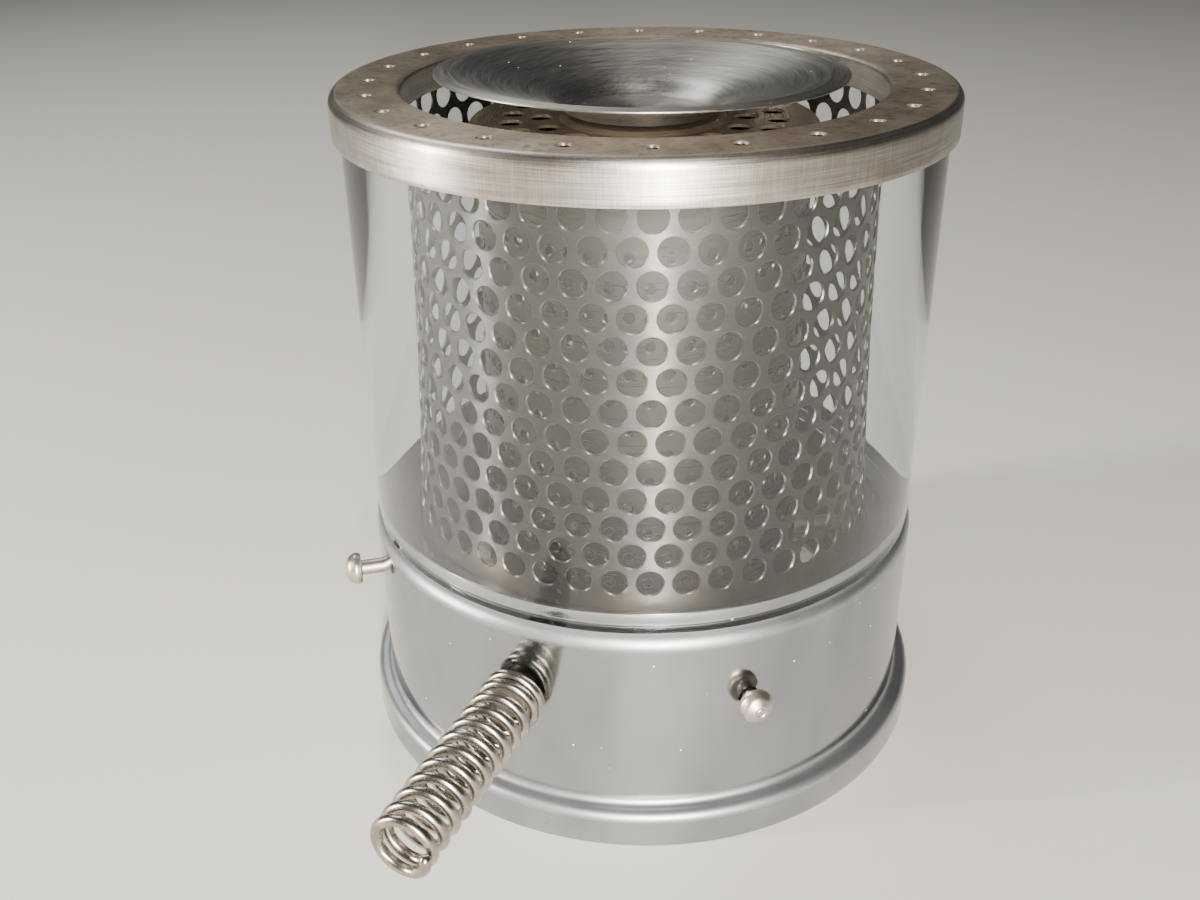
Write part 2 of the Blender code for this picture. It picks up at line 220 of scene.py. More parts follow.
def evenLevels(path, gap):
    # arc lengths of the path's own points, with each longer stretch split evenly
    own = arcLengths(path)
    parts = [np.linspace(a, b, math.ceil((b - a) / gap) + 1)[:-1] for a, b in zip(own[:-1], own[1:])]
    return np.concatenate(parts + [own[-1:]])


def ringFaces(rows, nextRows):
    # quads between closed rows of point numbers
    sides = [rows, np.roll(rows, -1, -1), np.roll(nextRows, -1, -1), nextRows]
    return np.stack(sides, axis=-1)


def alongPath(path):
    # the path's direction at each of its points: the sum of the two steps that meet there
    steps = np.diff(path, axis=0)
    steps = steps / np.linalg.norm(steps, axis=1)[:, None]
    along = np.vstack([steps[:1], steps[:-1] + steps[1:], steps[-1:]])
    return along / np.linalg.norm(along, axis=1)[:, None]


def levelNear(path, r, z):
    # the arc length of the path's nearest point to (r, z)
    own = arcLengths(path)
    tries = np.linspace(0, own[-1], 6000)
    gap = np.hypot(np.interp(tries, own, path[:, 0]) - r, np.interp(tries, own, path[:, 1]) - z)
    return float(tries[gap.argmin()])


def drilled(path, columns, levels, places, rings):
    # equal holes at the places (azimuth, r, z); a ring is a (radius, depth), a hole takes a block of cells
    level = np.array([levelNear(path, r, z) for azimuth, r, z in places])
    size = max(radius for radius, depth in rings) + 0.8
    rows = np.arange(len(levels))
    spans = np.interp(level + size, levels, rows) - np.interp(level - size, levels, rows)
    wide = 2 * math.ceil(size * columns / (math.tau * places[0][1]) + 0.5)
    column = np.array([azimuth for azimuth, r, z in places]) * columns / 360
    return {"columns": column, "levels": level, "rings": rings, "block": (wide, math.ceil(spans.max()) + 1)}


def turnedSheet(path, thickness, columns, levels, holeSets=(), phase=0.0):
    # a sheet turned about the axis. A point is (column, level, depth): the path point at that arc length,
    # moved by the depth to the path's right, then carried round: x = r sin a, y = -r cos a. Both edges get
    # round lips.
    own, along = arcLengths(path), alongPath(path)

    def place(column, level, depth, past=0.0):
        r, z = (np.interp(level, own, path[:, i]) for i in (0, 1))
        alongR, alongZ = (np.interp(level, own, along[:, i]) for i in (0, 1))
        r = r + alongZ * depth + alongR * past
        z = z - alongR * depth + alongZ * past
        turn = (np.asarray(column) + phase) * math.tau / columns
        return np.stack([r * np.sin(turn), -r * np.cos(turn), z + 0 * turn], axis=-1)

    every = np.arange(columns)[None, :]
    rows = np.arange(len(levels))[:, None] * columns + every
    lipTurn = np.linspace(0, math.pi, 5)[1:-1, None]
    lipDepth, lipOut = thickness * (1 - np.cos(lipTurn)) / 2, thickness * np.sin(lipTurn) / 2
    points = [place(every, levels[:, None], 0.0), place(every, levels[:, None], thickness),
              place(every, levels[0], lipDepth, -lipOut), place(every, levels[-1], lipDepth, lipOut)]
    innerRows = rows + rows.size
    lipRows = 2 * rows.size + np.arange(len(lipTurn))[:, None] * columns + every
    firstLip = np.vstack([rows[:1], lipRows, innerRows[:1]])
    lastLip = np.vstack([rows[-1:], lipRows + lipRows.size, innerRows[-1:]])
    faces = [ringFaces(firstLip[1:], firstLip[:-1]).reshape(-1, 4),
             ringFaces(lastLip[:-1], lastLip[1:]).reshape(-1, 4)]
    kept = np.ones((len(levels) - 1, columns), bool)
    used = 2 * rows.size + 2 * lipRows.size

    for holes in holeSets:
        wide, tall = holes["block"]
        column, level = holes["columns"], holes["levels"]
        firstColumn = np.rint(column - wide / 2).astype(int)
        firstRow = np.rint(np.interp(level, levels, np.arange(len(levels))) - tall / 2).astype(int)
        across = [np.arange(wide), np.full(tall, wide), np.arange(wide, 0, -1), np.zeros(tall, int)]
        down = [np.zeros(wide, int), np.arange(tall), np.full(wide, tall), np.arange(tall, 0, -1)]
        across, down = np.concatenate(across), np.concatenate(down)
        border = (firstRow[:, None] + down) * columns + (firstColumn[:, None] + across) % columns
        count = len(across)
        turn = math.tau * ((np.arange(count) - wide / 2) / count - 0.25)
        perColumn = math.tau * np.interp(level, own, path[:, 0])[:, None] / columns
        chain = [border]
        for radius, depth in holes["rings"]:
            points.append(place(column[:, None] + radius * np.cos(turn) / perColumn,
                                level[:, None] + radius * np.sin(turn), depth))
            chain.append(used + np.arange(border.size).reshape(border.shape))
            used += border.size
        chain.append(border + rows.size)
        faces += [ringFaces(a, b).reshape(-1, 4) for a, b in zip(chain[:-1], chain[1:])]
        blockRows = firstRow[:, None, None] + np.arange(tall)[None, :, None]
        blockColumns = (firstColumn[:, None, None] + np.arange(wide)[None, None, :]) % columns
        kept[blockRows, blockColumns] = False

    faces += [ringFaces(rows[:-1], rows[1:])[kept], ringFaces(innerRows[1:], innerRows[:-1])[kept]]
    return np.concatenate([group.reshape(-1, 3) for group in points]), faces


def turnedSolid(outline, columns):
    # each outline point is carried round the axis; an outline that starts and ends on the axis gets two poles
    poles = outline[0, 0] == 0
    body = outline[1:-1] if poles else outline
    turn = np.arange(columns)[None, :] * math.tau / columns
    r, z = body[:, :1], body[:, 1:]
    points = np.stack([r * np.sin(turn), -r * np.cos(turn), z + 0 * turn], axis=-1).reshape(-1, 3)
    rows = np.arange(len(points)).reshape(-1, columns)
    if not poles:
        return points, [ringFaces(rows, np.roll(rows, -1, axis=0)).reshape(-1, 4)]
    ends = np.array([[0, 0, outline[0, 1]], [0, 0, outline[-1, 1]]])
    first, last = len(points), len(points) + 1
    fans = [np.stack([rows[0], np.full(columns, first), np.roll(rows[0], -1)], axis=-1),
            np.stack([np.roll(rows[-1], -1), np.full(columns, last), rows[-1]], axis=-1)]
    return np.vstack([points, ends]), [ringFaces(rows[:-1], rows[1:]).reshape(-1, 4)] + fans


def sheetOutline(path, thickness):
    # the path, a half round over its end, and the way back a sheet's thickness to the path's right
    along = alongPath(path)
    under = path + thickness * np.stack([along[:, 1], -along[:, 0]], axis=-1)
    turn = np.linspace(0, math.pi, 7)[1:-1, None]
    middle, half = (path[-1] + under[-1]) / 2, (path[-1] - under[-1]) / 2
    lip = middle + np.cos(turn) * half + np.sin(turn) * along[-1] * thickness / 2
    return np.vstack([path, lip, under[::-1]])


def sweptBar(centres, sideways, section, dome):
    # a section (out, up) carried along the centre line, square to it; each end closes in a dome of that depth
    along = np.gradient(centres, axis=0)
    along = along / np.linalg.norm(along, axis=1)[:, None]
    rise = np.linspace(0, math.pi / 2, 5)[1:, None]
    first = centres[0] - along[0] * dome * np.sin(rise)[::-1]
    last = centres[-1] + along[-1] * dome * np.sin(rise)
    scale = np.concatenate([np.cos(rise)[::-1, 0], np.ones(len(centres)), np.cos(rise)[:, 0]])
    centres = np.vstack([first, centres, last])
    along = np.vstack([np.repeat(along[:1], 4, 0), along, np.repeat(along[-1:], 4, 0)])
    sideways = np.vstack([np.repeat(sideways[:1], 4, 0), sideways, np.repeat(sideways[-1:], 4, 0)])
    up = np.cross(along, sideways)
    up = up / np.linalg.norm(up, axis=1)[:, None]
    out = np.cross(up, along)
    ring = section[None, :, :1] * out[:, None] + section[None, :, 1:] * up[:, None]
    points = (centres[:, None] + scale[:, None, None] * ring)[1:-1]
    rows = np.arange(points.shape[0] * points.shape[1]).reshape(points.shape[:2])
    sides = rows.shape[1]
    fans = [np.stack([rows[0], np.full(sides, rows.size), np.roll(rows[0], -1)], axis=-1),
            np.stack([np.roll(rows[-1], -1), np.full(sides, rows.size + 1), rows[-1]], axis=-1)]
    points = np.vstack([points.reshape(-1, 3), centres[:1], centres[-1:]])
    return points, [ringFaces(rows[:-1], rows[1:]).reshape(-1, 4)] + fans


def aimed(points, place, direction):
    # stand a piece turned about Z on a place, with its own Z along the direction
    turn = np.array(Vector(direction).to_track_quat("Z", "Y").to_matrix())
    return points @ turn.T + np.asarray(place)


def addPiece(name, surface, material, body, nodes, sharp=32, bends=None):
    # the mesh takes the points in metres, faces outwards, and rides on its body; with bends given it is left
    # unparented where it stands, and the bend's bodies and ends are not used
    points, faceSets = surface
    volume = 0.0  # six times the enclosed volume, from the tetrahedra between each triangle and the origin
    for faces in faceSets:
        for second in range(1, faces.shape[1] - 1):
            a, b, c = (points[faces[:, i]] for i in (0, second, second + 1))
            volume += np.einsum("ij,ij->", a, np.cross(b, c))
    if volume < 0:
        faceSets = [faces[:, ::-1] for faces in faceSets]
    mesh = bpy.data.meshes.new(name)
    mesh.vertices.add(len(points))
    mesh.vertices.foreach_set("co", (points * mm).astype(np.float32).ravel())
    corners = np.concatenate([faces.ravel() for faces in faceSets])
    sizes = np.concatenate([np.full(len(faces), faces.shape[1]) for faces in faceSets])
    mesh.loops.add(len(corners))
    mesh.loops.foreach_set("vertex_index", corners.astype(np.int32))
    mesh.polygons.add(len(sizes))
    mesh.polygons.foreach_set("loop_start", (np.cumsum(sizes) - sizes).astype(np.int32))
    mesh.update(calc_edges=True)
    mesh.shade_smooth()
    mesh.set_sharp_from_angle(angle=math.radians(sharp))
    mesh.materials.append(material)
    piece = bpy.data.objects.new(name, mesh)
    bpy.context.scene.collection.objects.link(piece)
    if bends:
        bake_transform(piece)
    else:
        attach(piece, body)
    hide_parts(*nodes)
    print(f"{name}: {len(sizes)} faces")


def grains(tree, size, detail=3.0, stretch=(1, 1, 1)):
    # random patches about that many millimetres wide, drawn out along X, Y and Z by the stretch
    spot = addNode(tree, "ShaderNodeTexCoord")
    scale = tuple(1 / (size * mm * part) for part in stretch)
    sized = addNode(tree, "ShaderNodeVectorMath", {0: (spot, "Object"), 1: scale}, operation="MULTIPLY")
    return addNode(tree, "ShaderNodeTexNoise", {"Vector": sized, "Scale": 1.0, "Detail": detail,
                                                "Roughness": 0.55})


def roundStreaks(tree, across, along, centre=(0.0, 0.0)):
    # streaks round an upright axis: they change over "across" mm up and outwards, over "along" mm sideways
    spot = addNode(tree, "ShaderNodeTexCoord")
    middle = (centre[0] * mm, centre[1] * mm, 0)
    moved = addNode(tree, "ShaderNodeVectorMath", {0: (spot, "Object"), 1: middle}, operation="SUBTRACT")
    flat = addNode(tree, "ShaderNodeVectorMath", {0: moved, 1: (1, 1, 0)}, operation="MULTIPLY")
    radius = addNode(tree, "ShaderNodeVectorMath", {0: flat}, operation="LENGTH")
    fine, coarse = 1 / (across * mm), 1 / (along * mm)
    outward = addNode(tree, "ShaderNodeMath", {0: (radius, "Value"), 1: fine}, operation="MULTIPLY")
    scale = (coarse, coarse, fine)
    sized = addNode(tree, "ShaderNodeVectorMath", {0: moved, 1: scale}, operation="MULTIPLY")
    return addNode(tree, "ShaderNodeTexNoise", {"Vector": sized, "W": outward, "Scale": 1.0, "Detail": 3.0,
                                                "Roughness": 0.6}, noise_dimensions="4D")


def dust(tree, spacing, size):
    # round specks of that size, where a cell's random point lies close to the surface; the cells have that
    # spacing, in mm
    spot = addNode(tree, "ShaderNodeTexCoord")
    cells = addNode(tree, "ShaderNodeTexVoronoi", {"Vector": (spot, "Object"), "Scale": 1 / (spacing * mm)})
    reached = size / spacing / 2
    return addNode(tree, "ShaderNodeMath", {0: (cells, "Distance"), 1: reached}, operation="LESS_THAN")


def heightAndRadius(tree):
    # how far above the table and how far from the axis a point is, in metres
    spot = addNode(tree, "ShaderNodeTexCoord")
    parts = addNode(tree, "ShaderNodeSeparateXYZ", {0: (spot, "Object")})
    flat = addNode(tree, "ShaderNodeVectorMath", {0: (spot, "Object"), 1: (1, 1, 0)}, operation="MULTIPLY")
    return (parts, "Z"), (addNode(tree, "ShaderNodeVectorMath", {0: flat}, operation="LENGTH"), "Value")


def between(tree, length, start, full, fade, end):
    # a mask that eases in from start to full and out from fade to end, all in millimetres
    into = {"Value": length, "From Min": start * mm, "From Max": full * mm}
    out = {"Value": length, "From Min": fade * mm, "From Max": end * mm, "To Min": 1.0, "To Max": 0.0}
    rise = addNode(tree, "ShaderNodeMapRange", into, interpolation_type="SMOOTHSTEP")
    fall = addNode(tree, "ShaderNodeMapRange", out, interpolation_type="SMOOTHSTEP")
    return addNode(tree, "ShaderNodeMath", {0: rise, 1: fall}, operation="MULTIPLY")


def mixed(tree, pattern, low, high, first, second):
    # one colour where the pattern is low, the other where it is high
    share = addNode(tree, "ShaderNodeMapRange", {"Value": pattern, "From Min": low, "From Max": high})
    return addNode(tree, "ShaderNodeMix", {0: share, 6: first, 7: second}, data_type="RGBA")


def pinFacts(side):
    # a cross pin's direction out of the stove, azimuth, height, and how far out its head and its tail end lie
    axis = np.array(jointNamed(f"pin_{side}_float")["axis"])
    points = nodePoints(f"cross_pin_{side}")
    along = points @ axis
    return {"axis": axis, "azimuth": math.degrees(math.atan2(axis[0], -axis[1])),
            "height": float(np.ptp(points[:, 2]) / 2 + points[:, 2].min()),
            "head": float(along.max()), "tail": float(along.min())}


def spanAlong(node, axis):
    along = nodePoints(node) @ axis
    return float(along.min()), float(along.max())


pins = {side: pinFacts(side) for side in ("right", "left")}
handleRoot = np.array(jointNamed("handle_flex")["pos_m"]) / mm
handleAxis = nodePoints("handle_spring").mean(axis=0) - handleRoot
handleAxis = handleAxis / np.linalg.norm(handleAxis)
handleAzimuth = math.degrees(math.atan2(handleRoot[0], -handleRoot[1]))


def pinPlaces(radius):
    # where both pins cross a wall of that radius, near and far
    return [(pin["azimuth"] + side, radius, pin["height"]) for pin in pins.values() for side in (0, 180)]


drum = {"sheet": 0.8, "shoulder": 4.0, "wallIn": 4.7, "ledge": 11.4, "crease": 2.0, "bead": 2.5,
        "columns": 240, "gap": 2.0, "pinHole": 2.8, "studHole": 3.0, "holeEdge": 0.15}
tin = {"colours": ("96999C", "A9ABAD"), "cloud": 26.0, "wallRough": (0.10, 0.17), "grain": 0.45,
       "frostRough": (0.40, 0.48), "relief": 0.006, "dustEvery": 6.0, "dust": 0.5, "dustColour": "E8E6E0"}


def tinplate():
    # tin-coated mild steel, bright rolled and pressed: a soft mirror with faint clouds of handling and a
    # little dust, frosty where the coating was stretched round the shoulder and the bead
    made, tree, shader = newMaterial("tinplate")
    skirtR, floorZ, deckZ = reach("drum")
    wallR, ledge = skirtR - drum["wallIn"], drum["ledge"]
    height, radius = heightAndRadius(tree)
    nearDeck = between(tree, height, deckZ - 5.7, deckZ - 3.2, deckZ + 1, deckZ + 2)
    nearWall = between(tree, radius, wallR - 4.0, wallR - 3.2, wallR + 1, wallR + 2)
    shoulder = addNode(tree, "ShaderNodeMath", {0: nearDeck, 1: nearWall}, operation="MULTIPLY")
    bead = between(tree, height, ledge - 3.6, ledge - 2.2, ledge + 1.6, ledge + 3.6)
    bend = addNode(tree, "ShaderNodeMath", {0: shoulder, 1: bead}, operation="ADD")
    grain = grains(tree, tin["grain"], 2.0)  # the real grain is finer; drawn as coarse as it needs to show
    cloud = grains(tree, tin["cloud"], 2.0, (1, 1, 2.5))
    low, high = tin["wallRough"]
    smooth = addNode(tree, "ShaderNodeMapRange", {"Value": cloud, "From Min": 0.3, "From Max": 0.7,
                                                  "To Min": low, "To Max": high})
    low, high = tin["frostRough"]
    frosted = addNode(tree, "ShaderNodeMapRange", {"Value": grain, "From Min": 0.35, "From Max": 0.65,
                                                   "To Min": low, "To Max": high})
    rough = addNode(tree, "ShaderNodeMix", {0: bend, 2: smooth, 3: frosted})
    relief = addNode(tree, "ShaderNodeMath", {0: grain, 1: bend}, operation="MULTIPLY")
    deep = tin["relief"] * mm
    bump = addNode(tree, "ShaderNodeBump", {"Strength": 0.5, "Distance": deep, "Height": relief})
    specks = dust(tree, tin["dustEvery"], tin["dust"])
    colour = mixed(tree, cloud, 0.35, 0.65, *map(toLinear, tin["colours"]))
    colour = mixed(tree, specks, 0, 1, colour, toLinear(tin["dustColour"]))
    metal = addNode(tree, "ShaderNodeMath", {0: 1.0, 1: specks}, operation="SUBTRACT")
    fill(tree, shader, {"Base Color": colour, "Metallic": metal, "Roughness": rough, "Normal": bump})
    return made


def makeDrum(material):
    # deck, rounded shoulder, straight wall, and a wider skirt below a bead
    skirtR, floorZ, deckZ = reach("drum")
    wallR = skirtR - drum["wallIn"]
    corners = [(innerRadius("drum"), deckZ, 0), (wallR, deckZ, drum["shoulder"]),
               (wallR, drum["ledge"], drum["crease"]), (skirtR, drum["ledge"], drum["bead"]),
               (skirtR, floorZ + drum["sheet"] / 2, 0)]
    path = filletPath(corners, 8)
    levels = evenLevels(path, drum["gap"])
    columns, sheet, edge = drum["columns"], drum["sheet"], drum["holeEdge"]
    stud = [(handleAzimuth, wallR, handleRoot[2])]
    holes = []
    for radius, places in ((drum["pinHole"], pinPlaces(wallR)), (drum["studHole"], stud)):
        rings = [(radius + edge, 0), (radius, edge), (radius, sheet)]
        holes.append(drilled(path, columns, levels, places, rings))
    surface = turnedSheet(path, sheet, columns, levels, holes)
    addPiece("drumShell", surface, material, "housing", ["drum"])


collar = {"sheet": 0.8, "foot": 6.5, "bend": 1.2, "columns": 240, "gap": 2.0}


def makeLocatingRing(material):
    # an upright collar with its foot on the deck
    outerR, lowZ, highZ = reach("glass_locating_ring")
    corners = [(outerR, highZ, 0), (outerR, lowZ, collar["bend"]), (outerR - collar["foot"], lowZ, 0)]
    path = filletPath(corners, 6)
    surface = turnedSheet(path, collar["sheet"], collar["columns"], evenLevels(path, collar["gap"]))
    addPiece("locatingCollar", surface, material, "housing", ["glass_locating_ring"])


glass = {"edge": 1.1, "columns": 256, "tint": "F8FBFB", "shadow": "F4F7F7"}


def borosilicate():
    # drawn borosilicate tube: clear and smooth; the lamps' light goes straight through it to what it holds
    made, tree, shader = newMaterial("borosilicateGlass")
    fill(tree, shader, {"Base Color": toLinear(glass["tint"]), "Roughness": 0.0, "IOR": 1.47,
                        "Transmission Weight": 1.0})
    path = addNode(tree, "ShaderNodeLightPath")
    clear = addNode(tree, "ShaderNodeBsdfTransparent", {"Color": toLinear(glass["shadow"])})
    either = addNode(tree, "ShaderNodeMixShader", {0: (path, "Is Shadow Ray"), 1: shader, 2: clear})
    fill(tree, tree.nodes["Material Output"], {"Surface": either})
    return made


def makeGlass(material):
    # a tube with melted, rounded rims
    outerR, lowZ, highZ = reach("glass_chimney")
    innerR, edge = innerRadius("glass_chimney"), glass["edge"]
    corners = [(innerR, highZ, edge), (outerR, highZ, edge), (outerR, lowZ, edge), (innerR, lowZ, edge)]
    surface = turnedSolid(filletPath(corners, 6), glass["columns"])
    addPiece("chimneyGlass", surface, material, "glass", ["glass_chimney"], sharp=60)


# the sleeve's colours are much darker than the dish's steel: painted shade, standing for the dark
# surroundings that the sleeve reflects
brushed = {"sleeve": {"colours": ("393736", "524F4D"), "rough": 0.35, "relief": 0.015, "spread": 0.95},
           "dish": {"colours": ("6C6964", "CFCCC6"), "rough": 0.40, "relief": 0.08, "spread": 0.6},
           "haze": "8E7C66", "dustEvery": 5.0, "dust": 0.45, "dustColour": "F4F2EC"}


def brushedStainless(name, piece, crossed=None, dusty=False):
    # stainless steel ground round and round with a fine belt: lamps spread into bands across the grooves; a
    # brown haze of heat lies low on the sleeve; "crossed" is the middle of a second set of scratches
    made, tree, shader = newMaterial(name)
    streaks = roundStreaks(tree, 0.3, 30)  # real grooves are about 0.1 mm; drawn coarser, so that they show
    bands = roundStreaks(tree, 1.4, 60)
    both = addNode(tree, "ShaderNodeMix", {0: 0.4, 2: streaks, 3: bands})
    if crossed:
        both = addNode(tree, "ShaderNodeMix", {0: 0.45, 2: both, 3: roundStreaks(tree, 0.35, 14, crossed)})
    finish = brushed[piece]
    low, high = finish["rough"] - 0.06, finish["rough"] + 0.06
    rough = addNode(tree, "ShaderNodeMapRange", {"Value": both, "From Min": 0.35, "From Max": 0.65,
                                                 "To Min": low, "To Max": high})
    deep = finish["relief"] * mm
    bump = addNode(tree, "ShaderNodeBump", {"Strength": 0.55, "Distance": deep, "Height": both})
    colour = mixed(tree, both, 0.3, 0.7, *map(toLinear, finish["colours"]))
    height, radius = heightAndRadius(tree)
    deckZ = reach("drum")[2]
    nearDeck = between(tree, height, deckZ - 30, deckZ - 20, deckZ, deckZ + 30)
    patchy = addNode(tree, "ShaderNodeMath", {0: nearDeck, 1: grains(tree, 18.0)}, operation="MULTIPLY")
    colour = mixed(tree, patchy, 0.3, 1.1, colour, toLinear(brushed["haze"]))
    metal = 1.0
    if dusty:
        specks = dust(tree, brushed["dustEvery"], brushed["dust"])
        colour = mixed(tree, specks, 0, 1, colour, toLinear(brushed["dustColour"]))
        metal = addNode(tree, "ShaderNodeMath", {0: 1.0, 1: specks}, operation="SUBTRACT")
    tangent = addNode(tree, "ShaderNodeTangent", direction_type="RADIAL", axis="Z")
    fill(tree, shader, {"Base Color": colour, "Metallic": metal, "Roughness": rough, "Normal": bump,
                        "Anisotropic": finish["spread"], "Anisotropic Rotation": 0.25, "Tangent": tangent})
    return made


sleeve = {"sheet": 0.6, "holes": 44, "rows": 14, "hole": 3.7, "chamfer": 0.3, "lowRow": 76.9, "pitch": 8.29,
          "across": 4, "down": 3, "pinHole": 2.9, "margin": 1.6}


def makeSleeve(material):
    # rows of holes, every second row turned by half a hole; each hole fills one cell of the grid
    outerR, lowZ, highZ = reach("outer_flame_sleeve")
    path = np.array([[outerR, highZ], [outerR, lowZ]])
    columns, down, pitch = sleeve["holes"] * sleeve["across"], sleeve["down"], sleeve["pitch"]
    top = highZ - sleeve["lowRow"] - pitch * (sleeve["rows"] - 0.5)
    band = top + np.arange(sleeve["rows"] * down + 1) * pitch / down
    above = np.linspace(0, top, 4)[:-1]
    rest = highZ - lowZ - band[-1]
    below = band[-1] + np.linspace(0, rest, math.ceil(rest / sleeve["margin"]) + 1)[1:]
    levels = np.concatenate([above, band, below])
    row, hole = np.meshgrid(np.arange(sleeve["rows"]), np.arange(sleeve["holes"]), indexing="ij")
    centre = 1 + sleeve["across"] * (hole + 0.5 * ((row + 1) % 2))
    radius, chamfer = sleeve["hole"], sleeve["chamfer"]
    rings = [(radius + chamfer, 0), (radius, chamfer), (radius, sleeve["sheet"])]
    pattern = {"columns": centre.ravel(), "levels": top + pitch * (row.ravel() + 0.5), "rings": rings,
               "block": (sleeve["across"], down)}
    pinRings = [(sleeve["pinHole"], 0), (sleeve["pinHole"], sleeve["sheet"])]
    forPins = drilled(path, columns, levels, pinPlaces(outerR), pinRings)
    surface = turnedSheet(path, sleeve["sheet"], columns, levels, [pattern, forPins])
    addPiece("flameSleeve", surface, material, "housing", ["outer_flame_sleeve"])


# the tube's dark brown colours are partly heat tint and partly painted shade, kept darker than the cap's so
# that the tube reads dim behind the sleeve
dull = {"tube": ("423E39", "342E28"), "cap": ("8C8272", "6E6252"), "cloud": 16.0, "rough": (0.26, 0.34),
        "relief": 0.004, "insideShade": "1C1916", "insideShadeRough": 0.85}


def dullStainless(name, piece, metallic):
    # rolled stainless sheet that has been hot: dull, straw-coloured in clouds; inside the tube the colour is
    # painted near-black and matt, as painted shade
    made, tree, shader = newMaterial(name)
    streaks = roundStreaks(tree, 0.5, 20)
    colour = mixed(tree, grains(tree, dull["cloud"]), 0.35, 0.7, *map(toLinear, dull[piece]))
    rough = addNode(tree, "ShaderNodeMapRange", {"Value": streaks, "From Min": 0.35, "From Max": 0.65,
                                                 "To Min": dull["rough"][0], "To Max": dull["rough"][1]})
    deep = dull["relief"] * mm
    bump = addNode(tree, "ShaderNodeBump", {"Strength": 0.3, "Distance": deep, "Height": streaks})
    height, radius = heightAndRadius(tree)
    tubeR, tubeZ = reach("inner_flame_tube")[0], reach("inner_flame_tube")[2]
    # painted shade: inside the tube and below its top edge the colour turns near-black, matt and less
    # metallic
    within = between(tree, radius, -2, -1, tubeR - 0.6, tubeR - 0.4)
    below = between(tree, height, -2, -1, tubeZ, tubeZ + 0.4)
    insideShade = addNode(tree, "ShaderNodeMath", {0: within, 1: below}, operation="MULTIPLY")
    colour = mixed(tree, insideShade, 0, 1, colour, toLinear(dull["insideShade"]))
    rough = addNode(tree, "ShaderNodeMix", {0: insideShade, 2: rough, 3: dull["insideShadeRough"]})
    metal = addNode(tree, "ShaderNodeMath", {0: metallic, 1: insideShade}, operation="SUBTRACT", use_clamp=True)
    fill(tree, shader, {"Base Color": colour, "Metallic": metal, "Roughness": rough, "Normal": bump})
    return made


tube = {"sheet": 0.7, "holes": 55, "rows": 13, "hole": 1.25, "lowRow": 65.5, "pitch": 7.75, "across": 3,
        "down": 2, "first": 2.25, "foot": 1.8, "crest": 1.5, "lift": 0.35, "pinHole": 2.8, "margin": 2.0}


def makeTube(material):
    # straight columns of small holes, each pushed outwards into a short lip
    outerR, lowZ, highZ = reach("inner_flame_tube")
    path = np.array([[outerR, highZ], [outerR, lowZ]])
    columns, down, pitch = tube["holes"] * tube["across"], tube["down"], tube["pitch"]
    top = highZ - tube["lowRow"] - pitch * (tube["rows"] - 0.5)
    band = top + np.arange(tube["rows"] * down + 1) * pitch / down
    above = np.linspace(0, top, math.ceil(top / tube["margin"]) + 1)[:-1]
    rest = highZ - lowZ - band[-1]
    below = band[-1] + np.linspace(0, rest, math.ceil(rest / tube["margin"]) + 1)[1:]
    levels = np.concatenate([above, band, below])
    row, hole = np.meshgrid(np.arange(tube["rows"]), np.arange(tube["holes"]), indexing="ij")
    rings = [(tube["foot"], 0), (tube["crest"], -tube["lift"]), (tube["hole"], -tube["lift"] * 0.7),
             (tube["hole"], tube["sheet"])]
    pattern = {"columns": (hole.ravel() + 0.5) * tube["across"], "levels": top + pitch * (row.ravel() + 0.5),
               "rings": rings, "block": (tube["across"], down)}
    pinRings = [(tube["pinHole"], 0), (tube["pinHole"], tube["sheet"])]
    forPins = drilled(path, columns, levels, pinPlaces(outerR), pinRings)
    phase = tube["first"] * columns / 360 - 0.5 * tube["across"]
    forPins["columns"] = forPins["columns"] - phase
    surface = turnedSheet(path, tube["sheet"], columns, levels, [pattern, forPins], phase)
    addPiece("flameTube", surface, material, "housing", ["inner_flame_tube"])


# a circle of the cap's holes: how many, the circle's radius, a hole's radius, the first one's azimuth
cap = {"sheet": 0.8, "middleR": 21.0, "stepR": 23.5, "step": 0.8, "bend": 2.0, "bore": 2.5, "columns": 220,
       "gap": 0.95, "circles": [(22, 36.9, 3.3, 2.0), (14, 28.6, 3.3, 13.0)], "cell": 8.2, "rows": 8}


def makeTubeCap(material):
    # a flanged lid with a raised middle and two circles of holes
    outerR, lowZ, highZ = reach("tube_cap")
    face = highZ - cap["step"]
    corners = [(cap["bore"], highZ, 0), (cap["middleR"], highZ, 0.8), (cap["stepR"], face, 0.8),
               (outerR, face, cap["bend"]), (outerR, lowZ, 0)]
    path = filletPath(corners, 5)
    levels = evenLevels(path, cap["gap"])
    holes = []
    for count, circle, radius, first in cap["circles"]:
        places = [(first + 360 * i / count, circle, face) for i in range(count)]
        rings = [(radius + 0.1, 0), (radius, 0.15), (radius, cap["sheet"])]
        holes.append(drilled(path, cap["columns"], levels, places, rings))
        holes[-1]["block"] = (round(cap["cell"] * cap["columns"] / (math.tau * circle)), cap["rows"])
    surface = turnedSheet(path, cap["sheet"], cap["columns"], levels, holes)
    addPiece("tubeCap", surface, material, "housing", ["tube_cap"])


dish = {"sheet": 0.6, "wellR": 20.6, "wellBend": 7.0, "slopeR": 24.8, "slopeUp": 3.9, "slopeBend": 10.0,
        "rim": 4.8, "rimBend": 0.5, "columns": 240, "gap": 3.0, "tip": 1.1, "tipTowards": 150.0,
        "shift": (-0.8, 0.0, 0.25)}


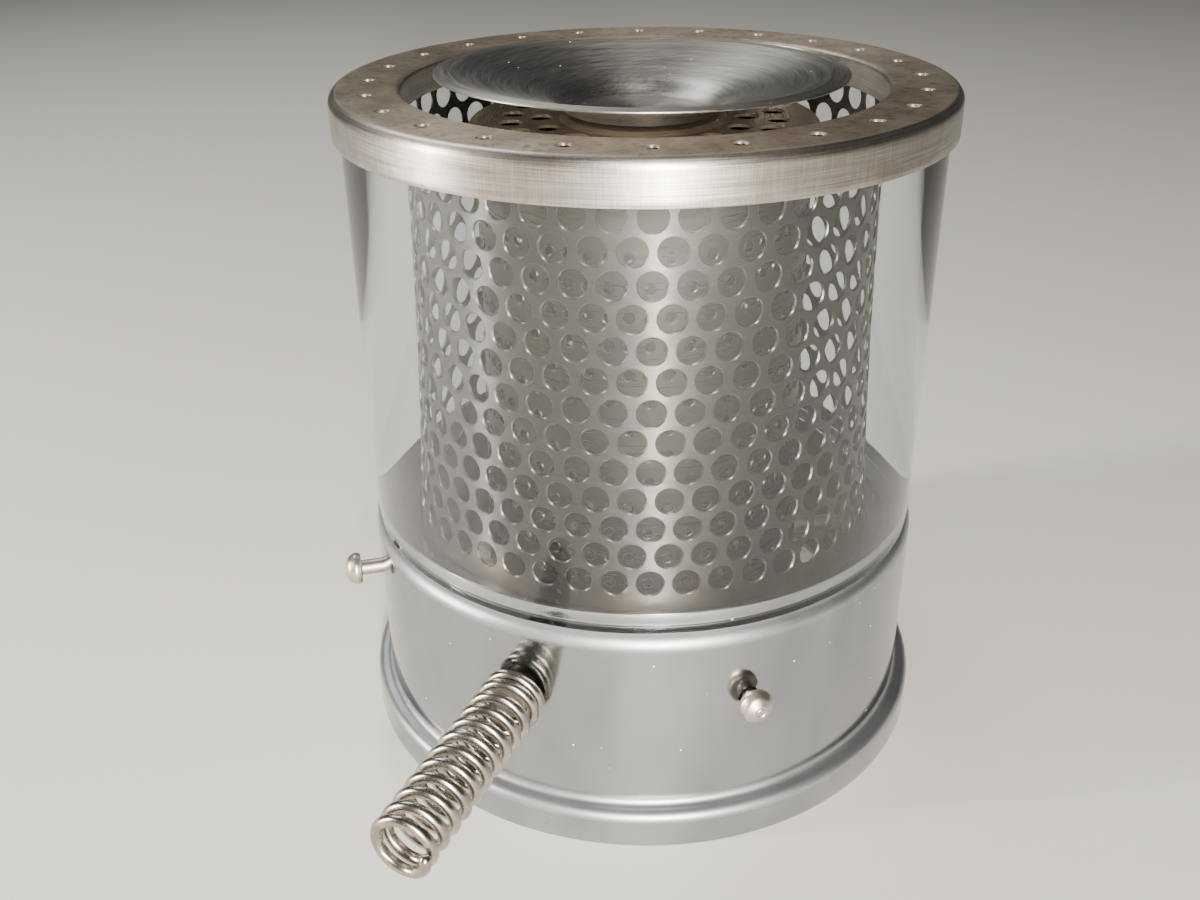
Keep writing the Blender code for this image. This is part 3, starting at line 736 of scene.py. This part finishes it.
def makeDish(material):
    # a shallow dish: flat well, steep side, long slope and flat rim; it sits a little crooked
    outerR, lowZ, highZ = reach("spreader_dish")
    floorZ = lowZ + dish["sheet"]
    corners = [(0, floorZ, 0), (dish["wellR"], floorZ, dish["wellBend"]),
               (dish["slopeR"], floorZ + dish["slopeUp"], dish["slopeBend"]),
               (outerR - dish["rim"], highZ, dish["rimBend"]), (outerR - dish["sheet"] / 2, highZ, 0)]
    path = filletPath(corners, 8)
    levels = evenLevels(path, dish["gap"])
    path = np.stack([np.interp(levels, arcLengths(path), path[:, i]) for i in (0, 1)], axis=-1)
    points, faces = turnedSolid(sheetOutline(path, dish["sheet"]), dish["columns"])
    lean = Matrix.Rotation(math.radians(dish["tip"]), 3, aroundAxis(dish["tipTowards"] + 90))
    points = (points - [0, 0, lowZ]) @ np.array(lean).T + [0, 0, lowZ] + np.array(dish["shift"])
    addPiece("spreaderDish", (points, faces), material, "spreader", ["spreader_dish"])


# the wire's colours are darker than the heads': painted shade for the dark surroundings that the wire
# reflects
nickelPlate = {"grain": 0.4, "cloud": 5.0, "wire": ("958F86", "B4AEA4"), "wireRough": (0.24, 0.28),
               "head": ("B4ABA0", "C8C0B4"), "headRough": (0.32, 0.42), "relief": 0.006}


def nickel(name, colours, roughness):
    # nickel plate on steel, warm grey: the drawn wire is glossy and its colour is darkened below the heads'
    # as painted shade; the tumbled heads are satin
    made, tree, shader = newMaterial(name)
    grain = grains(tree, nickelPlate["grain"], 2.0)
    colour = mixed(tree, grains(tree, nickelPlate["cloud"]), 0.35, 0.65, *map(toLinear, colours))
    rough = addNode(tree, "ShaderNodeMapRange", {"Value": grain, "From Min": 0.3, "From Max": 0.7,
                                                 "To Min": roughness[0], "To Max": roughness[1]})
    relief = nickelPlate["relief"] * mm
    bump = addNode(tree, "ShaderNodeBump", {"Strength": 0.3, "Distance": relief, "Height": grain})
    fill(tree, shader, {"Base Color": colour, "Metallic": 1.0, "Roughness": rough, "Normal": bump})
    return made


def washerRing(outerR, boreR, lowZ, highZ, edge=0.2):
    corners = [(boreR, highZ, edge), (outerR, highZ, edge), (outerR, lowZ, edge), (boreR, lowZ, edge)]
    return turnedSolid(filletPath(corners, 3), 64)


def hexNut(cornerR, boreR, lowZ, highZ):
    # a six-sided outline, r = flat distance / cos(angle from the flat's middle), with a cone at each face
    flat = cornerR * math.cos(math.pi / 6)
    turn = np.arange(96) * math.tau / 96
    hexagon = flat / np.cos((turn % (math.pi / 3)) - math.pi / 6)
    chamfer = (cornerR - flat) * 0.6
    limits = [(boreR + 0.3, lowZ), (flat * 0.98, lowZ), (cornerR, lowZ + chamfer), (cornerR, highZ - chamfer),
              (flat * 0.98, highZ), (boreR + 0.3, highZ), (boreR, highZ - 0.3), (boreR, lowZ + 0.3)]
    r = np.array([np.minimum(hexagon, limit) for limit, z in limits])
    z = np.array([z for limit, z in limits])[:, None]
    points = np.stack([r * np.sin(turn), -r * np.cos(turn), z + 0 * turn], axis=-1).reshape(-1, 3)
    rows = np.arange(len(points)).reshape(len(limits), -1)
    return points, [ringFaces(rows, np.roll(rows, -1, axis=0)).reshape(-1, 4)]


fixing = {"bore": 2.3, "edge": 0.3, "columns": 48}


def makeDishFixing(material):
    # the stud welded under the dish, and its washer and nut below the cap
    studR, lowZ, highZ = reach("dish_stud")
    corners = [(0, highZ, 0), (studR, highZ, fixing["edge"]), (studR, lowZ, fixing["edge"]), (0, lowZ, 0)]
    surface = turnedSolid(filletPath(corners, 4), fixing["columns"])
    addPiece("dishStud", surface, material, "spreader", ["dish_stud"])
    outerR, lowZ, highZ = reach("dish_washer")
    washer = washerRing(outerR, fixing["bore"], lowZ, highZ)
    addPiece("dishWasher", washer, material, "spreader", ["dish_washer"])
    outerR, lowZ, highZ = reach("dish_nut")
    nut = hexNut(outerR, fixing["bore"], lowZ, highZ)
    addPiece("dishNut", nut, material, "spreader", ["dish_nut"])


ring = {"sheet": 0.7, "innerBend": 1.5, "outerBend": 2.6, "holes": 24, "hole": 2.0, "holeEdge": 0.15,
        "first": 1.5, "columns": 240, "gap": 1.5}
stain = {"film": ("948A7B", "75695A"), "dark": "544A3F", "pale": "B0A696", "steel": ("8E8982", "CDC8C0"),
         "brown": "8A7C68", "cloud": 14.0, "mottle": 3.0, "grain": 0.5, "relief": 0.008,
         "filmRough": (0.40, 0.58), "steelRough": (0.32, 0.40), "spread": 0.6}


def stainedStainless():
    # stainless ring that has been in the flame: a mottled brown oxide film on top, rubbed bright at the
    # rounded corner and down the flange, which is brushed round and has fine upright scratches
    made, tree, shader = newMaterial("stainedStainless")
    outerR, flangeZ, highZ = reach("top_ring")
    height, radius = heightAndRadius(tree)
    topmost = between(tree, height, highZ - 0.8, highZ - 0.15, highZ + 1, highZ + 2)
    inside = between(tree, radius, 0, 1, outerR - 2.7, outerR - 1.5)
    onTop = addNode(tree, "ShaderNodeMath", {0: topmost, 1: inside}, operation="MULTIPLY")
    cloud, mottle = grains(tree, stain["cloud"], 4.0), grains(tree, stain["mottle"], 4.0)
    grain = grains(tree, stain["grain"], 2.0)
    film = mixed(tree, cloud, 0.35, 0.65, *map(toLinear, stain["film"]))
    film = mixed(tree, mottle, 0.50, 0.75, film, toLinear(stain["dark"]))
    film = mixed(tree, grain, 0.55, 0.95, film, toLinear(stain["pale"]))
    lines, upright = roundStreaks(tree, 0.25, 25), grains(tree, 0.35, 3.0, (1, 1, 30))
    scratch = addNode(tree, "ShaderNodeMix", {0: 0.3, 2: lines, 3: upright})
    steel = mixed(tree, scratch, 0.35, 0.65, *map(toLinear, stain["steel"]))
    steel = mixed(tree, cloud, 0.5, 0.9, steel, toLinear(stain["brown"]))
    colour = mixed(tree, onTop, 0, 1, steel, film)
    low, high = stain["steelRough"]
    bare = addNode(tree, "ShaderNodeMapRange", {"Value": scratch, "From Min": 0.35, "From Max": 0.65,
                                                "To Min": low, "To Max": high})
    low, high = stain["filmRough"]
    covered = addNode(tree, "ShaderNodeMapRange", {"Value": mottle, "From Min": 0.3, "From Max": 0.7,
                                                   "To Min": low, "To Max": high})
    rough = addNode(tree, "ShaderNodeMix", {0: onTop, 2: bare, 3: covered})
    deep = stain["relief"] * mm
    relief = addNode(tree, "ShaderNodeBump", {"Strength": 0.4, "Distance": deep, "Height": scratch})
    metal = addNode(tree, "ShaderNodeMapRange", {"Value": onTop, "To Min": 1.0, "To Max": 0.75})
    tangent = addNode(tree, "ShaderNodeTangent", direction_type="RADIAL", axis="Z")
    fill(tree, shader, {"Base Color": colour, "Metallic": metal, "Roughness": rough, "Normal": relief,
                        "Anisotropic": stain["spread"], "Anisotropic Rotation": 0.25, "Tangent": tangent})
    return made


def makeTopRing(material):
    # a flat ring with a deep outer flange, a short inner collar and a circle of small holes
    outerR, flangeZ, highZ = reach("top_ring")
    innerR = innerRadius("top_ring")
    points = nodePoints("top_ring")
    collarZ = float(points[np.hypot(points[:, 0], points[:, 1]) < innerR + 0.5, 2].min())
    corners = [(innerR, collarZ, 0), (innerR, highZ, ring["innerBend"]), (outerR, highZ, ring["outerBend"]),
               (outerR, flangeZ + ring["sheet"] / 2, 0)]
    path = filletPath(corners, 8)
    levels = evenLevels(path, ring["gap"])
    columns, sheet, radius, edge = (ring[key] for key in ("columns", "sheet", "hole", "holeEdge"))
    count, middleR = ring["holes"], (innerR + outerR) / 2
    places = [(ring["first"] + 360 * i / count, middleR, highZ) for i in range(count)]
    holes = drilled(path, columns, levels, places, [(radius + edge, 0), (radius, edge), (radius, sheet)])
    surface = turnedSheet(path, sheet, columns, levels, [holes])
    addPiece("topRing", surface, material, "lid", ["top_ring"])


pinShape = {"head": 4.8, "headR": 5.0, "domeR": 4.0, "domeDown": 1.05, "cheekDown": 3.1, "flatR": 1.95,
            "ringR": 1.2, "ringDeep": 0.15, "stemR": 2.3, "groove": 1.4, "grooveR": 1.6, "tail": 2.0,
            "washerR": 5.4, "bore": 2.6, "columns": 64}


def makePins(material):
    # a pin right through the stove: a domed head with a turned ring on its small flat end, a plain stem, and
    # a groove near the far end
    headR, top, stem, grooveR = (pinShape[key] for key in ("headR", "head", "stemR", "grooveR"))
    for side, pin in pins.items():
        end = top - pin["head"] + pin["tail"]
        low = end + pinShape["tail"]
        high = low + pinShape["groove"]
        flat, ringR, deep = pinShape["flatR"], pinShape["ringR"], pinShape["ringDeep"]
        corners = [(0, top, 0), (ringR - 0.2, top, 0.05), (ringR, top - deep, 0.05), (ringR + 0.2, top, 0.05),
                   (flat, top, 0.15), (pinShape["domeR"], top - pinShape["domeDown"], 2.2),
                   (headR, top - pinShape["cheekDown"], 1.5), (headR - 0.4, 0, 0.5), (stem, 0, 0.3),
                   (stem, high, 0.15), (grooveR, high, 0.1), (grooveR, low, 0.1), (stem, low, 0.15),
                   (stem, end, 0.5), (0, end, 0)]
        upright, body = np.array([0, 0, pin["height"]]), f"pin_{side}"
        points, faces = turnedSolid(filletPath(corners, 5), pinShape["columns"])
        surface = aimed(points, pin["axis"] * (pin["head"] - top) + upright, pin["axis"]), faces
        addPiece(f"crossPin{side.title()}", surface, material, body, [f"cross_pin_{side}"])
        near, far = spanAlong(f"pin_washer_{side}", pin["axis"])
        points, faces = washerRing(pinShape["washerR"], pinShape["bore"], near, far)
        surface = aimed(points, upright, pin["axis"]), faces
        addPiece(f"pinWasher{side.title()}", surface, material, body, [f"pin_washer_{side}"])
        near, far = spanAlong(f"pin_clip_{side}", pin["axis"])
        makeClip(side, pin, (near + far) / 2, far - near, material)


clip = {"middleR": 3.55, "width": 3.3, "opening": 50.0, "edge": 0.2}


def makeClip(side, pin, middle, thickness, material):
    # a flat bar bent into a horseshoe that is open below; its section is a rectangle with rounded corners
    turn = np.radians(np.linspace(-90 + clip["opening"], 270 - clip["opening"], 49))[:, None]
    upright = np.array([0.0, 0.0, 1.0])
    outwards = np.cos(turn) * np.cross(upright, pin["axis"]) + np.sin(turn) * upright
    line = pin["axis"] * middle + upright * pin["height"] + clip["middleR"] * outwards
    half, flat, edge = clip["width"] / 2, thickness / 2, clip["edge"]
    corners = [(half, flat, edge), (-half, flat, edge), (-half, -flat, edge), (half, -flat, edge)]
    surface = sweptBar(line, outwards, filletPath(corners, 3), edge)
    addPiece(f"pinClip{side.title()}", surface, material, f"clip_{side}", [f"pin_clip_{side}"])


handle = {"coilR": 7.45, "wireR": 1.55, "turns": 12.0, "closed": 1.0, "tight": 3.3, "start": 0.6,
          "length": 62.0, "perTurn": 40, "sides": 16, "bendsOver": 30.0, "studHead": 5.3, "studR": 2.5,
          "headFoot": 0.8, "bore": 2.8, "washerR": 6.0, "nutR": 5.2, "columns": 48}


def alongHandle(node):
    # how near and how far a node reaches along the handle's axis, from the drum's wall
    return (value - handleRoot @ handleAxis for value in spanAlong(node, handleAxis))


def makeHandleSpring(material):
    # a helix of round wire about the handle's axis: closed turns at both ends and open turns between
    wire, closed, tight, turns = (handle[key] for key in ("wireR", "closed", "tight", "turns"))
    turn = np.linspace(0, turns, int(turns * handle["perTurn"]) + 1)
    start, end = handle["start"] + wire, handle["length"] - wire
    openTurns = turns - 2 * closed
    openPitch = (end - start - 2 * closed * tight) / openTurns
    rise = start + tight * np.minimum(turn, closed) + openPitch * np.clip(turn - closed, 0, openTurns)
    rise = rise + tight * np.maximum(turn - turns + closed, 0)
    angle = math.tau * turn
    outwards = np.stack([np.cos(angle), np.sin(angle), 0 * angle], axis=-1)
    centres = handle["coilR"] * outwards + rise[:, None] * np.array([0.0, 0.0, 1.0])
    sides = np.arange(handle["sides"]) * math.tau / handle["sides"]
    section = wire * np.stack([np.cos(sides), np.sin(sides)], axis=-1)
    points, faces = sweptBar(centres, outwards, section, wire)
    surface = aimed(points, handleRoot, handleAxis), faces
    bendEnd = handleRoot + handleAxis * handle["bendsOver"]
    addPiece("handleSpring", surface, material, "handle", ["handle_spring"], sharp=60,
             bends=("housing", tuple(handleRoot * mm), tuple(bendEnd * mm)))


def makeHandleFixing(material):
    # the stud that carries the spring, and its washer and nut inside the drum
    near, far = alongHandle("handle_stud")
    headR, studR, foot = handle["studHead"], handle["studR"], handle["headFoot"]
    corners = [(0, far, 0), (headR - 0.8, far, 0.6), (headR, far - 0.9, 0.4), (headR, foot, 0.3),
               (studR, foot, 0.2), (studR, near, 0.3), (0, near, 0)]
    points, faces = turnedSolid(filletPath(corners, 4), handle["columns"])
    stud = aimed(points, handleRoot, handleAxis), faces
    addPiece("handleStud", stud, material, "housing", ["handle_stud"])
    points, faces = washerRing(handle["washerR"], handle["bore"], *alongHandle("handle_washer"))
    washer = aimed(points, handleRoot, handleAxis), faces
    addPiece("handleWasher", washer, material, "housing", ["handle_washer"])
    points, faces = hexNut(handle["nutR"], handle["bore"], *alongHandle("handle_nut"))
    nut = aimed(points, handleRoot, handleAxis), faces
    addPiece("handleNut", nut, material, "housing", ["handle_nut"])


cup = {"sheet": 0.8, "corner": 2.3, "rim": 0.35, "columns": 192, "channelSheet": 0.6, "channelBend": 1.0,
       "gap": 6.0, "colours": ("A0A09E", "B6B4AE"), "rough": (0.28, 0.42)}
wick = {"topBend": 2.5, "lowBend": 1.0, "colours": ("C9C0AE", "E0D9CA"), "scorched": "7A6C5A", "fibre": 0.9,
        "relief": 0.4}


def pressedSteel():
    # plain deep-drawn steel of the fuel cup: drawing streaks and the pale marks that spirit leaves
    made, tree, shader = newMaterial("pressedSteel")
    colour = mixed(tree, grains(tree, 12.0), 0.4, 0.65, *map(toLinear, cup["colours"]))
    low, high = cup["rough"]
    rough = addNode(tree, "ShaderNodeMapRange", {"Value": roundStreaks(tree, 0.8, 25), "From Min": 0.35,
                                                 "From Max": 0.65, "To Min": low, "To Max": high})
    fill(tree, shader, {"Base Color": colour, "Metallic": 1.0, "Roughness": rough})
    return made


def wickFibre():
    # pressed mineral fibre: matt, off-white, with short tangled fibres and scorched patches
    made, tree, shader = newMaterial("wickFibre")
    tangle = grains(tree, wick["fibre"], 5.0, (2.5, 1, 1))
    colour = mixed(tree, tangle, 0.35, 0.65, *map(toLinear, wick["colours"]))
    colour = mixed(tree, grains(tree, 9.0), 0.55, 0.85, colour, toLinear(wick["scorched"]))
    deep = wick["relief"] * mm
    bump = addNode(tree, "ShaderNodeBump", {"Strength": 0.8, "Distance": deep, "Height": tangle})
    fill(tree, shader, {"Base Color": colour, "Roughness": 0.95, "Normal": bump})
    return made


def makeFuelCup(material):
    # the open cup on the table and the channel that stands in it
    outerR, lowZ, highZ = reach("fuel_cup")
    sheet, bend, rim = cup["sheet"], cup["corner"], cup["rim"]
    corners = [(0, lowZ + sheet, 0), (outerR - sheet, lowZ + sheet, bend - sheet),
               (outerR - sheet, highZ, rim), (outerR, highZ, rim), (outerR, lowZ, bend), (0, lowZ, 0)]
    surface = turnedSolid(filletPath(corners, 5), cup["columns"])
    addPiece("fuelCup", surface, material, "fuel_unit", ["fuel_cup"])
    outerR, lowZ, highZ = reach("wick_channel")
    innerR, bend = innerRadius("wick_channel"), cup["channelBend"]
    path = filletPath([(outerR, highZ, 0), (outerR, lowZ, bend), (innerR, lowZ, bend), (innerR, highZ, 0)], 4)
    surface = turnedSheet(path, cup["channelSheet"], cup["columns"], evenLevels(path, cup["gap"]))
    addPiece("wickChannel", surface, material, "fuel_unit", ["wick_channel"])


def makeWick(material):
    # a fibre ring with a rounded top
    outerR, lowZ, highZ = reach("wick_ring")
    innerR, top, low = innerRadius("wick_ring"), wick["topBend"], wick["lowBend"]
    corners = [(innerR, highZ, top), (outerR, highZ, top), (outerR, lowZ, low), (innerR, lowZ, low)]
    surface = turnedSolid(filletPath(corners, 5), cup["columns"])
    addPiece("wickRing", surface, material, "fuel_unit", ["wick_ring"])


print("sizes are read; making the pieces")
drumTin = tinplate()
makeDrum(drumTin)
makeLocatingRing(drumTin)
makeGlass(borosilicate())
makeSleeve(brushedStainless("brushedSleeveWithPaintedShade", "sleeve"))
makeTube(dullStainless("dullTubeWithPaintedShade", "tube", 1.0))
# painted light: the cap gets pale straw colours and only half metal, so that it reads lit where the dish
# shades it; the straw tint itself is heat colour
makeTubeCap(dullStainless("heatTintedCapWithPaintedLight", "cap", 0.5))
makeDish(brushedStainless("brushedDish", "dish", crossed=(9.0, 5.0), dusty=True))
satinNickel = nickel("satinNickel", nickelPlate["head"], nickelPlate["headRough"])
makeDishFixing(satinNickel)
makeTopRing(stainedStainless())
makePins(satinNickel)
makeHandleSpring(nickel("nickelWireWithPaintedShade", nickelPlate["wire"], nickelPlate["wireRough"]))
makeHandleFixing(satinNickel)
makeFuelCup(pressedSteel())
makeWick(wickFibre())
print("all pieces are made")
